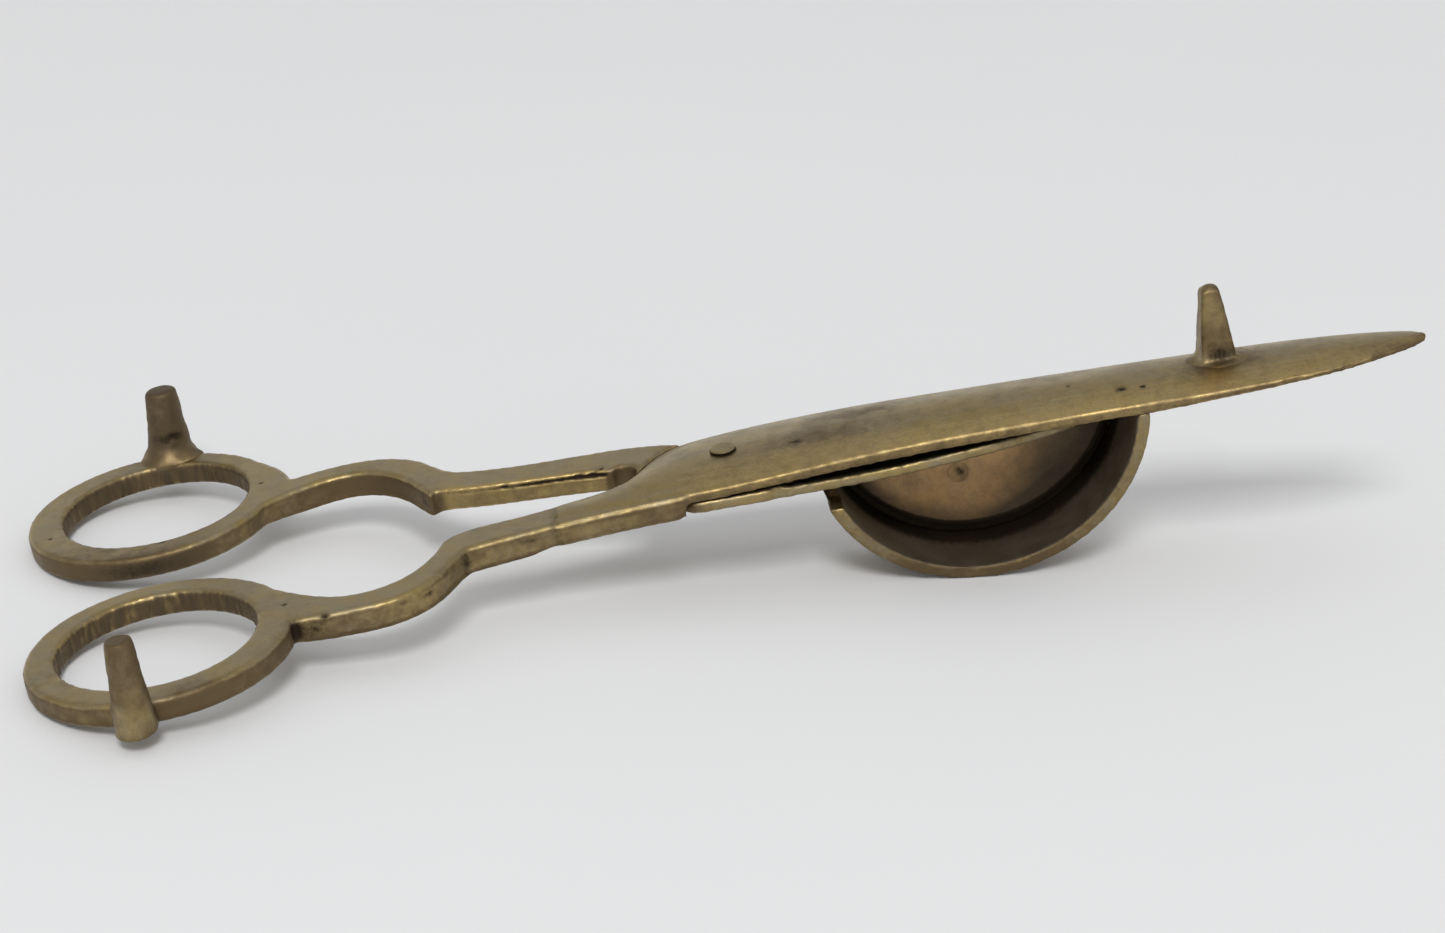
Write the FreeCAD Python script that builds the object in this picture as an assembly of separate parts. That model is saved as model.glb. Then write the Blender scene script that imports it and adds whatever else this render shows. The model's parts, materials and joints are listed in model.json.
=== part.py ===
import FreeCAD, Part
import math
import os

from FreeCAD import Placement, Rotation, Vector

# Candle snuffer scissors, lying upside down: the feet point up, and the tool rests on the
# backs of its two finger rings and on the belly of its snuff box.
#
# Everything is drawn first in the plane of the scissors, in millimetres: the origin is the
# rivet's axis at the level of the rings' upper faces, +X runs to the blade's tip, +Y to the
# press arm's ring, and +Z is the side that the feet stand on. The last step tips the whole
# tool nose-up until it rests on the floor.

# ---------------------------------------------------------------- driving dimensions
ARM_T = 3.0                 # thickness of the rings and shanks
EDGE_R = 0.3                # soft edges of the cast arms
SOFT_TO_X = -12.0           # edges centred nearer the rivet than this stay sharp
LOOSEST = 0.01              # widest gap between the surfaces of a rounded edge that is let pass
BLADE_EDGE_T = 1.35         # thickness of the upper blade at its edges, as far as the box
SLIDE_GAP = 0.12            # gap between the two blades where they slide
SIDE_GAP = 0.15             # gap between the two arms' shoulders when closed

RING_BORE_R = 11.9          # finger holes
RING_OUTER_R = 16.0
HOLE_A = Vector(-69.6, -21.95, 0)    # box arm's finger hole
HOLE_B = Vector(-72.4, 18.0, 0)      # press arm's finger hole
RING_A_OFFSET = Vector(0.3, -0.25, 0)    # the rings' outer rounds are a little off their holes
RING_B_OFFSET = Vector(-0.5, -0.2, 0)

LAP_R = 9.9                 # the box arm's lower half is cut back to this radius about the rivet
LAP_DISC_R = LAP_R - SIDE_GAP
LAP_DISC_NEAR_Y = -8.7      # the disc's two sides, a little inside the upper blade's edges
LAP_DISC_FAR_Y = 6.9

RIVET_HEAD_R = 1.66
RIVET_HEAD_H = 0.42
RIVET_R = 1.25
RIVET_PLAY = 0.05           # radial running clearance of the rivet in the press arm
RIVET_SEAT_Z = 1.0          # the head's seat on the crown of the blade
RIVET_TAIL_R = 1.9
RIVET_TAIL_H = 0.6

BOX_X = 31.2                # axis of the snuff box's curved wall
BOX_Z = 0.25
BOX_R = 20.92
BOX_WALL = 1.67
BOX_BACK_Y = 6.95           # outer face of the back plate
BACK_T = 0.9
RIM_Y = -7.0                # front of the wall where it meets the upper blade
RIM_LEAN = 7.9              # degrees: the rim leans back towards the belly of the box
LEFT_WALL_TOP_Z = -4.15     # leaves room for the press arm's blade to swing over the wall
LEFT_RIM_TOP_Z = -6.9

PLATE_X = 31.2              # press plate: a half-disc inside the box
PLATE_Z = 1.1
PLATE_R = 18.6
PLATE_Y = 4.9
PLATE_T = 0.9
PLATE_RIVET_X = 28.8
PLATE_RIVET_Z = -9.9
PLATE_RIVET_HEAD_R = 1.35
PLATE_RIVET_HEAD_H = 0.55
PLATE_RIVET_R = 0.8
DIMPLE_R = 1.1              # round dimple in the rivet's head, centred this far in front of it
DIMPLE_OUT = 0.75
PLATE_TOP_Z = -2.0          # the half-disc's straight side

FOOT_TOP_Z = 9.1            # flat ends of the two ring feet
FRONT_FOOT_TOP_R = 1.62     # the back foot is the stouter of the two
FRONT_FOOT_BASE_R = 2.5
FRONT_FLARE_R = 2.5
BACK_FOOT_TOP_R = 2.05
BACK_FOOT_BASE_R = 3.3
BACK_FLARE_R = 3.8
FLARE_H = 1.6
FLARE_STEP = 0.7            # the flare ends inside the peg, this much narrower than its base
FRONT_FOOT_BASE = Vector(-71.1, -39.3, -ARM_T)
FRONT_FOOT_TOP = Vector(-70.5, -39.9, FOOT_TOP_Z)
BACK_FOOT_BASE = Vector(-71.5, 33.6, -ARM_T)
BACK_FOOT_TOP = Vector(-70.9, 34.2, FOOT_TOP_Z)
BLADE_FOOT = Vector(62.2, 1.2, 0)
BLADE_FOOT_BASE_Z = 0.2     # inside the blade, whose crown then shapes the foot's underside
BLADE_FOOT_TOP_Z = 10.25
BLADE_FOOT_BASE = 4.7       # side of the square base
BLADE_FOOT_TOP = 2.45       # side of the square end

# How the tool rests on the floor
REST_PITCH = 8.637          # degrees, nose up
REST_ROLL = 0.774           # degrees, the far side up: the two rings are not quite level
REST_SHIFT = Vector(0.394, 2.055, 16.042)    # centres the box on the origin, lowest points on z = 0


# ---------------------------------------------------------------- small helpers
def v(x, y, z=0.0):
    return Vector(x, y, z)


def box(x0, y0, z0, x1, y1, z1):
    """A block between two corners."""
    return Part.makeBox(x1 - x0, y1 - y0, z1 - z0, v(x0, y0, z0))


def spline_edge(points):
    """One smooth edge through the points."""
    curve = Part.BSplineCurve()
    curve.interpolate([v(*p) for p in points])
    return curve.toShape()


def polyline_edges(points):
    corners = [v(*p) for p in points]
    return [Part.LineSegment(a, b).toShape() for a, b in zip(corners, corners[1:])]


def prism(edges, z0, z1):
    """The solid over a closed outline, from z0 up to z1."""
    wire = Part.Wire(Part.__sortEdges__(edges))
    face = Part.Face(wire)
    face.translate(v(0, 0, z0))
    return face.extrude(v(0, 0, z1 - z0))


def soften(solid, radius):
    """Round the edges round the upper and lower faces of a flat casting, up to the blade."""
    levels = (solid.BoundBox.ZMin, solid.BoundBox.ZMax)
    rims = [
        edge
        for edge in solid.Edges
        if edge.BoundBox.Center.x < SOFT_TO_X
        and any(abs(edge.BoundBox.ZMin - z) < 1e-4 and abs(edge.BoundBox.ZMax - z) < 1e-4
                for z in levels)
    ]
    for share in (1.0, 1.15, 0.85, 0.7):
        try:
            rounded = solid.makeFillet(share * radius, rims)
        except Exception:
            continue
        if rounded.isValid() and rounded.getTolerance(1) < LOOSEST:
            return rounded
    return solid


def tapered_peg(base, top, base_r, top_r):
    """A round peg between two centres, as a loft of two circles."""
    axis = v(0, 0, 1)
    circles = [Part.Wire(Part.Circle(c, axis, r).toShape()) for c, r in ((base, base_r), (top, top_r))]
    return Part.makeLoft(circles, True)


def drum(x, z, radius, y0, y1):
    """A cylinder along Y."""
    return Part.makeCylinder(radius, y1 - y0, v(x, y0, z), v(0, 1, 0))


# ---------------------------------------------------------------- outlines in plan
# The box arm's shank and neck: outer (near) side first, from the shoulder back to the ring.
SHOULDER_X = -5.4
NECK_A_OUTER = [
    (-32.4, -12.9), (-33.9, -15.2), (-36.4, -19.6), (-40.6, -22.9), (-46.6, -23.9), (-55.4, -24.6),
]
NECK_A_INNER = [
    (-57.4, -12.2), (-52.4, -16.6), (-46.6, -19.3), (-41.2, -17.8), (-37.2, -13.4), (-35.5, -9.1),
]
SHANK_A_OUTER = [(SHOULDER_X, -9.3), (-17.3, -10.2), (-26.0, -11.5), (-32.4, -12.9)]
SHANK_A_INNER = [(-35.5, -9.1), (-33.6, -7.6), (-28.2, -6.3), (-20.8, -4.8), (-13.2, -2.3)]

# The press arm's shank and neck, the other way round.
NECK_B_WEB = [(-59.6, 26.6), (-57.6, 24.2), (-55.8, 21.3), (-54.9, 18.3)]
NECK_B_OUTER = [
    (-54.9, 18.3), (-49.6, 19.8), (-42.6, 19.5), (-37.9, 16.5), (-35.3, 12.9), (-33.2, 11.0),
]
NECK_B_INNER = [(-36.9, 5.2), (-38.6, 8.6), (-41.0, 12.6), (-46.2, 16.0), (-51.6, 15.2), (-59.6, 10.2)]
SHANK_B_OUTER = [(-33.2, 11.0), (-27.8, 9.8), (-18.9, 9.2), (-9.4, 8.4), (-4.9, 6.9)]
SHANK_B_INNER = [(-13.8, 2.4), (-24.2, 4.0), (-31.7, 5.0), (-36.2, 6.1)]

# The upper blade: the S-shaped edge that crosses the press arm, then round the tip and back. Over
# the shank the outline runs just inside the shank's soft edges.
S_EDGE = [(-13.2, -2.3), (-10.5, 1.0), (-8.6, 3.7), (-4.9, 6.75)]
BLADE_S_EDGE = [(-13.6, -3.1), (-12.5, -1.75)] + S_EDGE[1:]
BLADE_FAR = [
    S_EDGE[-1], (1.0, 7.9), (9.0, 8.55), (20.0, 8.6), (36.0, 7.75), (53.0, 6.5), (60.0, 5.9),
    (68.0, 5.15), (77.0, 3.75), (83.5, 2.0), (87.4, -0.5), (88.0, -1.6),
]
BLADE_NEAR = [
    (88.0, -1.6), (87.3, -2.7), (83.5, -4.6), (77.0, -6.3), (68.0, -7.2), (60.0, -7.35), (53.0, -7.1),
    (36.0, -6.7), (20.0, -6.9), (9.0, -7.9), (1.0, -8.75), (-5.0, -8.95),
]
OVER_SHANK_NEAR = [BLADE_NEAR[-1], (-9.5, -9.15), (-13.0, -9.4), (-17.0, -9.75), (-21.6, -10.3)]
OVER_SHANK_FAR = [(-21.6, -5.5), (-17.0, -4.3), BLADE_S_EDGE[0]]
# The blade's underside thins towards the tip (x, z).
THINNING = [(53.5, -1.35), (60.0, -1.08), (68.0, -0.85), (77.0, -0.65), (83.5, -0.5), (90.0, -0.36)]

# The lower blade, a little inside the upper one.
LOWER_NEAR = [(-4.6, -8.6), (2.0, -8.4), (14.0, -7.0), (27.0, -5.9), (36.0, -5.2), (43.0, -3.6), (49.0, -1.0)]
LOWER_TIP_X = 50.2
# Side view of the lower blade: it bows down between the rivet and its tip (x, top z).
LOWER_TOP = [
    (-16.0, -1.47), (-4.0, -1.47), (4.0, -1.75), (13.0, -2.28), (21.6, -2.5), (30.0, -2.2),
    (40.0, -1.7), (52.0, -1.6),
]
LOWER_T = 1.4               # thickness of the lower blade

# The crown of the upper blade: x, middle of the blade, half width, height of the crown, and height
# at the edges, which dip a little below the shank's upper face so that the crown rises out of it.
CROWN = [
    (-22.5, -7.9, 2.4, 0.22, -0.12),
    (-17.0, -7.0, 2.8, 0.36, -0.12),
    (-13.0, -6.1, 3.5, 0.50, -0.12),
    (-9.5, -3.4, 5.8, 0.70, -0.12),
    (-5.0, -1.2, 7.9, 0.90, -0.12),
    (1.0, -0.5, 8.4, 1.03, -0.06),
    (9.0, 0.3, 8.2, 1.22, 0.0),
    (20.0, 0.85, 7.8, 1.40, 0.0),
    (36.0, 0.5, 7.2, 1.40, 0.0),
    (53.0, -0.3, 6.8, 1.30, 0.0),
    (60.0, -0.7, 6.6, 1.20, 0.0),
    (68.0, -1.0, 6.2, 1.10, 0.0),
    (77.0, -1.3, 5.0, 0.90, 0.0),
    (83.5, -1.3, 3.3, 0.62, 0.0),
    (89.0, -1.7, 1.4, 0.25, 0.0),
]
CROWN_SPARE = 1.3           # the crown is drawn this much wider than the blade, which is cut from it
NOTCH = v(-12.65, 1.5)      # round relief in the press arm's inner edge
NOTCH_R = 1.7


def crown_body():
    """A long, low vault, wider than the blade on both sides."""
    sections = []
    for x, middle, half, height, edge in CROWN:
        wide = CROWN_SPARE * half
        low = height - (height - edge) * CROWN_SPARE ** 2
        near, far = v(x, middle - wide, low), v(x, middle + wide, low)
        under_near, under_far = v(x, middle - wide, -2 * ARM_T), v(x, middle + wide, -2 * ARM_T)
        edges = [
            Part.LineSegment(under_near, under_far).toShape(),
            Part.LineSegment(under_far, far).toShape(),
            Part.Arc(far, v(x, middle, height), near).toShape(),
            Part.LineSegment(near, under_near).toShape(),
        ]
        sections.append(Part.Wire(edges))
    return Part.makeLoft(sections, True, False)


def crowned_blade():
    """The upper blade: flat below, thinning to the tip, and crowned between its edges."""
    edges = [spline_edge(BLADE_S_EDGE), spline_edge(BLADE_FAR), spline_edge(BLADE_NEAR)]
    edges += [spline_edge(OVER_SHANK_NEAR), spline_edge(OVER_SHANK_FAR)]
    edges += polyline_edges([OVER_SHANK_NEAR[-1], OVER_SHANK_FAR[0]])
    blade = prism(edges, -BLADE_EDGE_T, ARM_T).common(crown_body())
    below = 3 * ARM_T
    edges = [spline_edge(THINNING)]
    edges += polyline_edges([THINNING[-1], (THINNING[-1][0], -below), (THINNING[0][0], -below), THINNING[0]])
    return blade.cut(across(edges))


def across(edges):
    """The solid that a closed outline in side view, given as (x, z), sweeps across the blades."""
    face = Part.Face(Part.Wire(Part.__sortEdges__(edges)))
    slab = face.extrude(v(0, 0, 40))
    slab.rotate(v(0, 0, 0), v(1, 0, 0), 90)
    slab.translate(v(0, 20, 0))
    return slab


def ring(centre):
    return Part.makeCylinder(RING_OUTER_R, ARM_T, centre - v(0, 0, ARM_T))


def finger_hole(centre):
    return Part.makeCylinder(RING_BORE_R, 3 * ARM_T, centre - v(0, 0, 2 * ARM_T))


def box_arm():
    """Ring, S neck and shank at full thickness, then the crowned blade."""
    edges = [spline_edge(NECK_A_OUTER), spline_edge(NECK_A_INNER)]
    edges += [spline_edge(SHANK_A_INNER), spline_edge(SHANK_A_OUTER)]
    edges += polyline_edges([NECK_A_OUTER[-1], NECK_A_INNER[0]])
    edges += polyline_edges([SHANK_A_INNER[-1], SHANK_A_OUTER[0]])
    handle = prism(edges, -ARM_T, 0).fuse(ring(HOLE_A + RING_A_OFFSET))
    handle = handle.cut(finger_hole(HOLE_A)).removeSplitter()
    handle = soften(handle, EDGE_R)
    arm = handle.fuse(crowned_blade())
    lap = Part.makeCylinder(LAP_R, ARM_T, v(0, 0, -ARM_T - BLADE_EDGE_T))
    arm = arm.cut(lap).cut(rivet_hole(RIVET_R))
    head_seat = Part.makeCylinder(RIVET_HEAD_R + 0.01, 1.0, v(0, 0, RIVET_SEAT_Z))
    return arm.cut(head_seat).removeSplitter()


def rivet_hole(radius):
    return Part.makeCylinder(radius, 12, v(0, 0, -6))


def lower_blade():
    """The press arm's blade: its plan outline, cut to its bowed side view."""
    far_y = PLATE_Y + PLATE_T
    edges = [spline_edge(LOWER_NEAR)]
    edges += polyline_edges([LOWER_NEAR[-1], (LOWER_TIP_X, 0.6), (LOWER_TIP_X - 0.3, far_y)])
    edges += polyline_edges([(LOWER_TIP_X - 0.3, far_y), (2.0, far_y), (-4.0, 5.0), (-4.6, -8.6)])
    plan = prism(edges, -2 * ARM_T, 0)
    top = spline_edge(LOWER_TOP)
    low = spline_edge([(x, z - LOWER_T) for x, z in LOWER_TOP])
    ends = polyline_edges([LOWER_TOP[0], (LOWER_TOP[0][0], LOWER_TOP[0][1] - LOWER_T)])
    ends += polyline_edges([LOWER_TOP[-1], (LOWER_TOP[-1][0], LOWER_TOP[-1][1] - LOWER_T)])
    return plan.common(across([top, low] + ends))


def press_arm():
    """Mirror-like ring, neck and shank, halved under the upper blade, and the lower blade."""
    edges = [spline_edge(NECK_B_WEB), spline_edge(NECK_B_OUTER), spline_edge(NECK_B_INNER)]
    edges += [spline_edge(SHANK_B_OUTER), spline_edge(SHANK_B_INNER)]
    edges += polyline_edges([NECK_B_INNER[-1], NECK_B_WEB[0]])
    edges += polyline_edges([SHANK_B_INNER[-1], NECK_B_INNER[0]])
    edges += polyline_edges([SHANK_B_OUTER[-1], (1.0, 0.0), (-4.0, -4.0), SHANK_B_INNER[0]])
    handle = prism(edges, -ARM_T, 0).fuse(ring(HOLE_B + RING_B_OFFSET))
    handle = handle.cut(finger_hole(HOLE_B)).removeSplitter()
    handle = soften(handle, EDGE_R)
    lap_disc = Part.makeCylinder(LAP_DISC_R, ARM_T - BLADE_EDGE_T - SLIDE_GAP, v(0, 0, -ARM_T))
    lap_disc = lap_disc.common(box(-20, LAP_DISC_NEAR_Y, -10, 20, LAP_DISC_FAR_Y, 10))
    arm = handle.fuse(lap_disc).fuse(lower_blade())
    arm = arm.cut(upper_blade_room())
    notch = Part.makeCylinder(NOTCH_R, 2 * ARM_T, NOTCH - v(0, 0, 1.6 * ARM_T))
    arm = arm.cut(notch).cut(rivet_hole(RIVET_R + RIVET_PLAY))
    countersink = Part.makeCone(
        RIVET_TAIL_R + 0.1, RIVET_R + RIVET_PLAY, RIVET_TAIL_H, v(0, 0, -ARM_T)
    )
    return arm.cut(countersink).removeSplitter()


def upper_blade_room():
    """What the press arm gives up so that the upper blade lies over it, a side gap wider."""
    shift = SIDE_GAP * math.sqrt(0.5)
    s_edge = [(x - shift, y + shift) for x, y in S_EDGE]
    edges = [spline_edge(s_edge)]
    edges += polyline_edges([s_edge[-1], (60.0, 12.0), (60.0, -20.0), (s_edge[0][0], -20.0), s_edge[0]])
    return prism(edges, -BLADE_EDGE_T - SLIDE_GAP, ARM_T)


def pivot_rivet():
    """Low flat head on the crown, plain shank, and a peened tail in the countersink."""
    head = Part.makeCylinder(RIVET_HEAD_R, RIVET_HEAD_H, v(0, 0, RIVET_SEAT_Z))
    shank = Part.makeCylinder(RIVET_R, ARM_T + RIVET_SEAT_Z, v(0, 0, -ARM_T))
    tail = Part.makeCone(RIVET_TAIL_R, RIVET_R, RIVET_TAIL_H, v(0, 0, -ARM_T))
    return head.fuse(shank).fuse(tail).removeSplitter()


# ---------------------------------------------------------------- snuff box
def rim_cutter():
    """Everything in front of the box's leaning rim."""
    block = box(-20, -40, -60, 80, 0, 20)
    block.rotate(v(0, 0, 0), v(1, 0, 0), RIM_LEAN)
    block.translate(v(0, RIM_Y, 0))
    return block


def box_wall(arm):
    tube = drum(BOX_X, BOX_Z, BOX_R, -12, BOX_BACK_Y)
    tube = tube.cut(drum(BOX_X, BOX_Z, BOX_R - BOX_WALL, -13, BOX_BACK_Y + 1))
    wall = tube.cut(rim_cutter())
    wall = wall.cut(above_blade_underside()).cut(arm)
    return wall.cut(left_wall_room()).removeSplitter()


def above_blade_underside():
    return box(-60, -60, -BLADE_EDGE_T, 120, 60, 60)


def left_wall_room():
    """The rivet side of the wall is cut down: level under the lower blade, then sloping to the rim."""
    back = PLATE_Y + PLATE_T + SLIDE_GAP
    corners = [
        v(0, back, 5),
        v(0, back, LEFT_WALL_TOP_Z),
        v(0, 1.0, LEFT_WALL_TOP_Z),
        v(0, -2.2, LEFT_RIM_TOP_Z),
        v(0, -14.0, LEFT_RIM_TOP_Z),
        v(0, -14.0, 5),
    ]
    face = Part.Face(Part.makePolygon(corners + [corners[0]]))
    return face.extrude(v(BOX_X, 0, 0))


def box_back(arm):
    inner = BOX_R - BOX_WALL
    plate = drum(BOX_X, BOX_Z, inner, BOX_BACK_Y - BACK_T, BOX_BACK_Y)
    return plate.cut(above_blade_underside()).cut(arm)


# ---------------------------------------------------------------- press plate
def press_plate(arm):
    disc = drum(PLATE_X, PLATE_Z, PLATE_R, PLATE_Y, PLATE_Y + PLATE_T)
    disc = disc.cut(box(-60, -60, PLATE_TOP_Z, 120, 60, 60)).cut(arm)
    hole = drum(PLATE_RIVET_X, PLATE_RIVET_Z, PLATE_RIVET_R, PLATE_Y - 2, PLATE_Y + 2)
    return max(disc.cut(hole).Solids, key=lambda s: s.Volume)


def press_plate_rivet():
    """Dimpled head on the plate's open side, and a shank that ends flush behind."""
    x, z = PLATE_RIVET_X, PLATE_RIVET_Z
    front = PLATE_Y - PLATE_RIVET_HEAD_H
    head = drum(x, z, PLATE_RIVET_HEAD_R, front, PLATE_Y)
    shank = drum(x, z, PLATE_RIVET_R, PLATE_Y - 0.1, PLATE_Y + PLATE_T)
    dimple = Part.makeSphere(DIMPLE_R, v(x, front - DIMPLE_OUT, z))
    return head.fuse(shank).cut(dimple).removeSplitter()


# ---------------------------------------------------------------- feet
def ring_foot(base, top, base_r, top_r, flare_r, arm):
    """A round peg brazed against a ring's rim; flare_r widens its base on the ring's face."""
    peg = tapered_peg(base, top, base_r, top_r)
    flare_top = v(base.x, base.y, FLARE_H)
    peg = peg.fuse(tapered_peg(v(base.x, base.y), flare_top, flare_r, base_r - FLARE_STEP))
    return max(peg.cut(arm).Solids, key=lambda s: s.Volume)


def blade_foot(arm):
    """A square, tapering peg whose base is fitted to the crown of the blade."""
    sections = []
    for z, side in ((BLADE_FOOT_BASE_Z, BLADE_FOOT_BASE), (BLADE_FOOT_TOP_Z, BLADE_FOOT_TOP)):
        half = side / 2
        corners = [v(half, half, z), v(-half, half, z), v(-half, -half, z), v(half, -half, z)]
        sections.append(Part.makePolygon([c + BLADE_FOOT for c in corners + [corners[0]]]))
    peg = Part.makeLoft(sections, True, True)
    return max(peg.cut(arm).Solids, key=lambda s: s.Volume)


# ---------------------------------------------------------------- assembly
def to_rest():
    """Tip the tool from its own plane to the way it lies on the floor."""
    roll = Rotation(v(1, 0, 0), REST_ROLL)
    pitch = Rotation(v(0, 1, 0), -REST_PITCH)
    return Placement(REST_SHIFT, roll.multiply(pitch))


def build():
    arm_a = box_arm()
    arm_b = press_arm()
    return {
        "box_arm": arm_a,
        "press_arm": arm_b,
        "pivot_rivet": pivot_rivet(),
        "box_wall": box_wall(arm_a),
        "box_back": box_back(arm_a),
        "press_plate": press_plate(arm_b),
        "press_plate_rivet": press_plate_rivet(),
        "ring_foot_front": ring_foot(
            FRONT_FOOT_BASE, FRONT_FOOT_TOP, FRONT_FOOT_BASE_R, FRONT_FOOT_TOP_R, FRONT_FLARE_R, arm_a
        ),
        "ring_foot_back": ring_foot(
            BACK_FOOT_BASE, BACK_FOOT_TOP, BACK_FOOT_BASE_R, BACK_FOOT_TOP_R, BACK_FLARE_R, arm_b
        ),
        "blade_foot": blade_foot(arm_a),
    }


def main():
    os.makedirs("parts", exist_ok=True)
    rest = to_rest()
    whole = None
    for name, shape in build().items():
        shape = shape.copy()
        shape.Placement = rest.multiply(shape.Placement)
        print(name, "valid", shape.isValid(), "solids", len(shape.Solids), "mm3", round(shape.Volume, 1))
        shape.exportStep(f"parts/{name}.step")
        limits = shape.optimalBoundingBox(False)
        print("   ", limits)
        if whole is None:
            whole = limits
        whole.add(limits)
    print("whole", whole)


main()
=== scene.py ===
import json
import math

import bmesh
import bpy
import numpy as np
from mathutils import Matrix, Vector
from mathutils.bvhtree import BVHTree
from mathutils.kdtree import KDTree


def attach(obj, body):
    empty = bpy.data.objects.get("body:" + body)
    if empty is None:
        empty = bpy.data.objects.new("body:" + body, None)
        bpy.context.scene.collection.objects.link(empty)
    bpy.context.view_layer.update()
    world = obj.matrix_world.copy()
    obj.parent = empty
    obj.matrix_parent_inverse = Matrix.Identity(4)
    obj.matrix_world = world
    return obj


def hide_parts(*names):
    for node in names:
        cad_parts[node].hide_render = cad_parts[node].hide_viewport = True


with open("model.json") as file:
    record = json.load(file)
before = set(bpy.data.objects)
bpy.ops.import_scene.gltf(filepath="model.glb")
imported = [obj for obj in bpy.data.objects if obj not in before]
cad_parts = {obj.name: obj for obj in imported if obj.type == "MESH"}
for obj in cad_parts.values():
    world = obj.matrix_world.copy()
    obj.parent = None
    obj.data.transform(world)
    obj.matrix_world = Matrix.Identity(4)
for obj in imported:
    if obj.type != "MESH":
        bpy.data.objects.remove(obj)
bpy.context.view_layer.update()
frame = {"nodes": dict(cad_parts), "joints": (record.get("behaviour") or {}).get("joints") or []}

# Candle snuffer scissors of cast brass, upside down on a pale table.
#
# Shapes below are worked in the tool's own plane, in millimetres: the origin is the rivet's
# axis level with the rings' upper faces, +X runs to the blade's tip, +Y to the press arm's
# ring, and +Z is the side that the feet stand on. PLAN turns that plane into the row frame.
MM = 0.001
REST_PITCH = math.radians(8.637)
REST_ROLL = math.radians(0.774)
HINGE = frame["joints"][0]
PLAN = (
    Matrix.Translation(Vector(HINGE["pos_m"]))
    @ Matrix.Rotation(REST_ROLL, 4, "X")
    @ Matrix.Rotation(-REST_PITCH, 4, "Y")
    @ Matrix.Scale(MM, 4)
)
TO_PLAN = np.array(PLAN.inverted())
FROM_PLAN = np.array(PLAN)

FIXED = "box_arm_body"
MOVING = "press_arm_body"

HOLE_A = (-69.6, -21.95)    # x and y of the box arm's finger hole
HOLE_B = (-72.4, 18.0)      # x and y of the press arm's finger hole
HOLE_R = 11.9
BOX_AXIS = (31.2, 0.25)     # x and z of the snuff box's axis
PLATE_AXIS = (31.2, 1.1)    # x and z of the press plate's round edge
PLATE_R = 18.6
UNDERSIDE = 0.45            # how much deeper the necks and shanks are cast, underneath

HELD_ROUNDS = 5             # pieces relaxed for more rounds than this keep their soft shape
SHARP = math.radians(35)    # CAD edges bent by more than this are sharp
SNAP = 0.75                 # how near to a sharp edge points are gathered, in voxels
WELD = 0.0005               # mm
EDGE_GAIN = 9               # brings the bend of a rounded edge, in voxels, up to about 1

scene = bpy.context.scene


# ---------------------------------------------------------------- noise and smooth spots
def lattice_value(cell, seed):
    """A repeatable value from -1 to 1 for each whole-number cell.

    The large odd numbers mean nothing: they only scramble the bits.
    """
    mixed = (
        cell[:, 0] * np.uint32(73856093)
        ^ cell[:, 1] * np.uint32(19349663)
        ^ cell[:, 2] * np.uint32(83492791)
        ^ np.uint32((seed * 2654435761) % 2**32)
    )
    mixed ^= mixed >> np.uint32(15)
    mixed *= np.uint32(2246822519)
    mixed ^= mixed >> np.uint32(13)
    mixed *= np.uint32(3266489917)
    mixed ^= mixed >> np.uint32(16)
    return mixed.astype(np.float64) / 2**31 - 1


def noise(points, size, seed):
    """Smooth noise from -1 to 1, with blobs about size millimetres across (one size or three)."""
    scaled = points / np.array(size, float)
    low = np.floor(scaled)
    part = scaled - low
    part = part * part * (3 - 2 * part)
    low = low.astype(np.int64)
    total = np.zeros(len(points))
    for corner in np.ndindex(2, 2, 2):
        share = np.prod(np.where(corner, part, 1 - part), axis=1)
        total += share * lattice_value((low + corner).astype(np.uint32), seed)
    return total


def bump_at(points, centre, radii):
    """A smooth spot that is 1 at the centre and fades out past the radii."""
    gap = np.linalg.norm((points - np.array(centre)) / np.array(radii, float), axis=1)
    return np.exp(-gap * gap * 1.5)


def spots_at(points, spots, spread=1.0):
    """The sum of smooth spots. Each is a centre, its radii and its strength."""
    return sum(
        strength * bump_at(points, centre, np.array(radii) * spread)
        for centre, radii, strength in spots
    )


def dirt_in(points, pits, spread):
    """1 in the middle of each pit, whatever its depth."""
    return spots_at(points, [(centre, radii, 1.0) for centre, radii, depth in pits], spread)


def step(start, end, value):
    """Rises smoothly from 0 where value is start to 1 where it is end, whichever is larger."""
    t = np.clip((value - start) / (end - start), 0, 1)
    return t * t * (3 - 2 * t)


# ---------------------------------------------------------------- mesh work
def to_world(points):
    return points @ FROM_PLAN[:3, :3].T + FROM_PLAN[:3, 3]


def to_plan(world):
    return world @ TO_PLAN[:3, :3].T + TO_PLAN[:3, 3]


def plan_points(mesh):
    places = np.empty(len(mesh.vertices) * 3)
    mesh.vertices.foreach_get("co", places)
    return to_plan(places.reshape(-1, 3))


def plan_normals(mesh):
    normals = np.empty(len(mesh.vertices) * 3)
    mesh.vertices.foreach_get("normal", normals)
    return normals.reshape(-1, 3) @ (TO_PLAN[:3, :3].T * MM)


def shape_of(piece):
    return plan_points(piece.data), plan_normals(piece.data)


def put_points(mesh, points):
    mesh.vertices.foreach_set("co", to_world(points).ravel())
    mesh.update()


def edge_pairs(mesh):
    pairs = np.empty(len(mesh.edges) * 2, np.int64)
    mesh.edges.foreach_get("vertices", pairs)
    return pairs.reshape(-1, 2).T


def neighbour_mean(values, pairs):
    a, b = pairs
    n = len(values)
    count = np.bincount(a, minlength=n) + np.bincount(b, minlength=n)
    columns = values.reshape(n, -1)
    sums = [np.bincount(a, c[b], n) + np.bincount(b, c[a], n) for c in columns.T]
    return (np.stack(sums, 1) / np.maximum(count, 1)[:, None]).reshape(values.shape)


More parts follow.
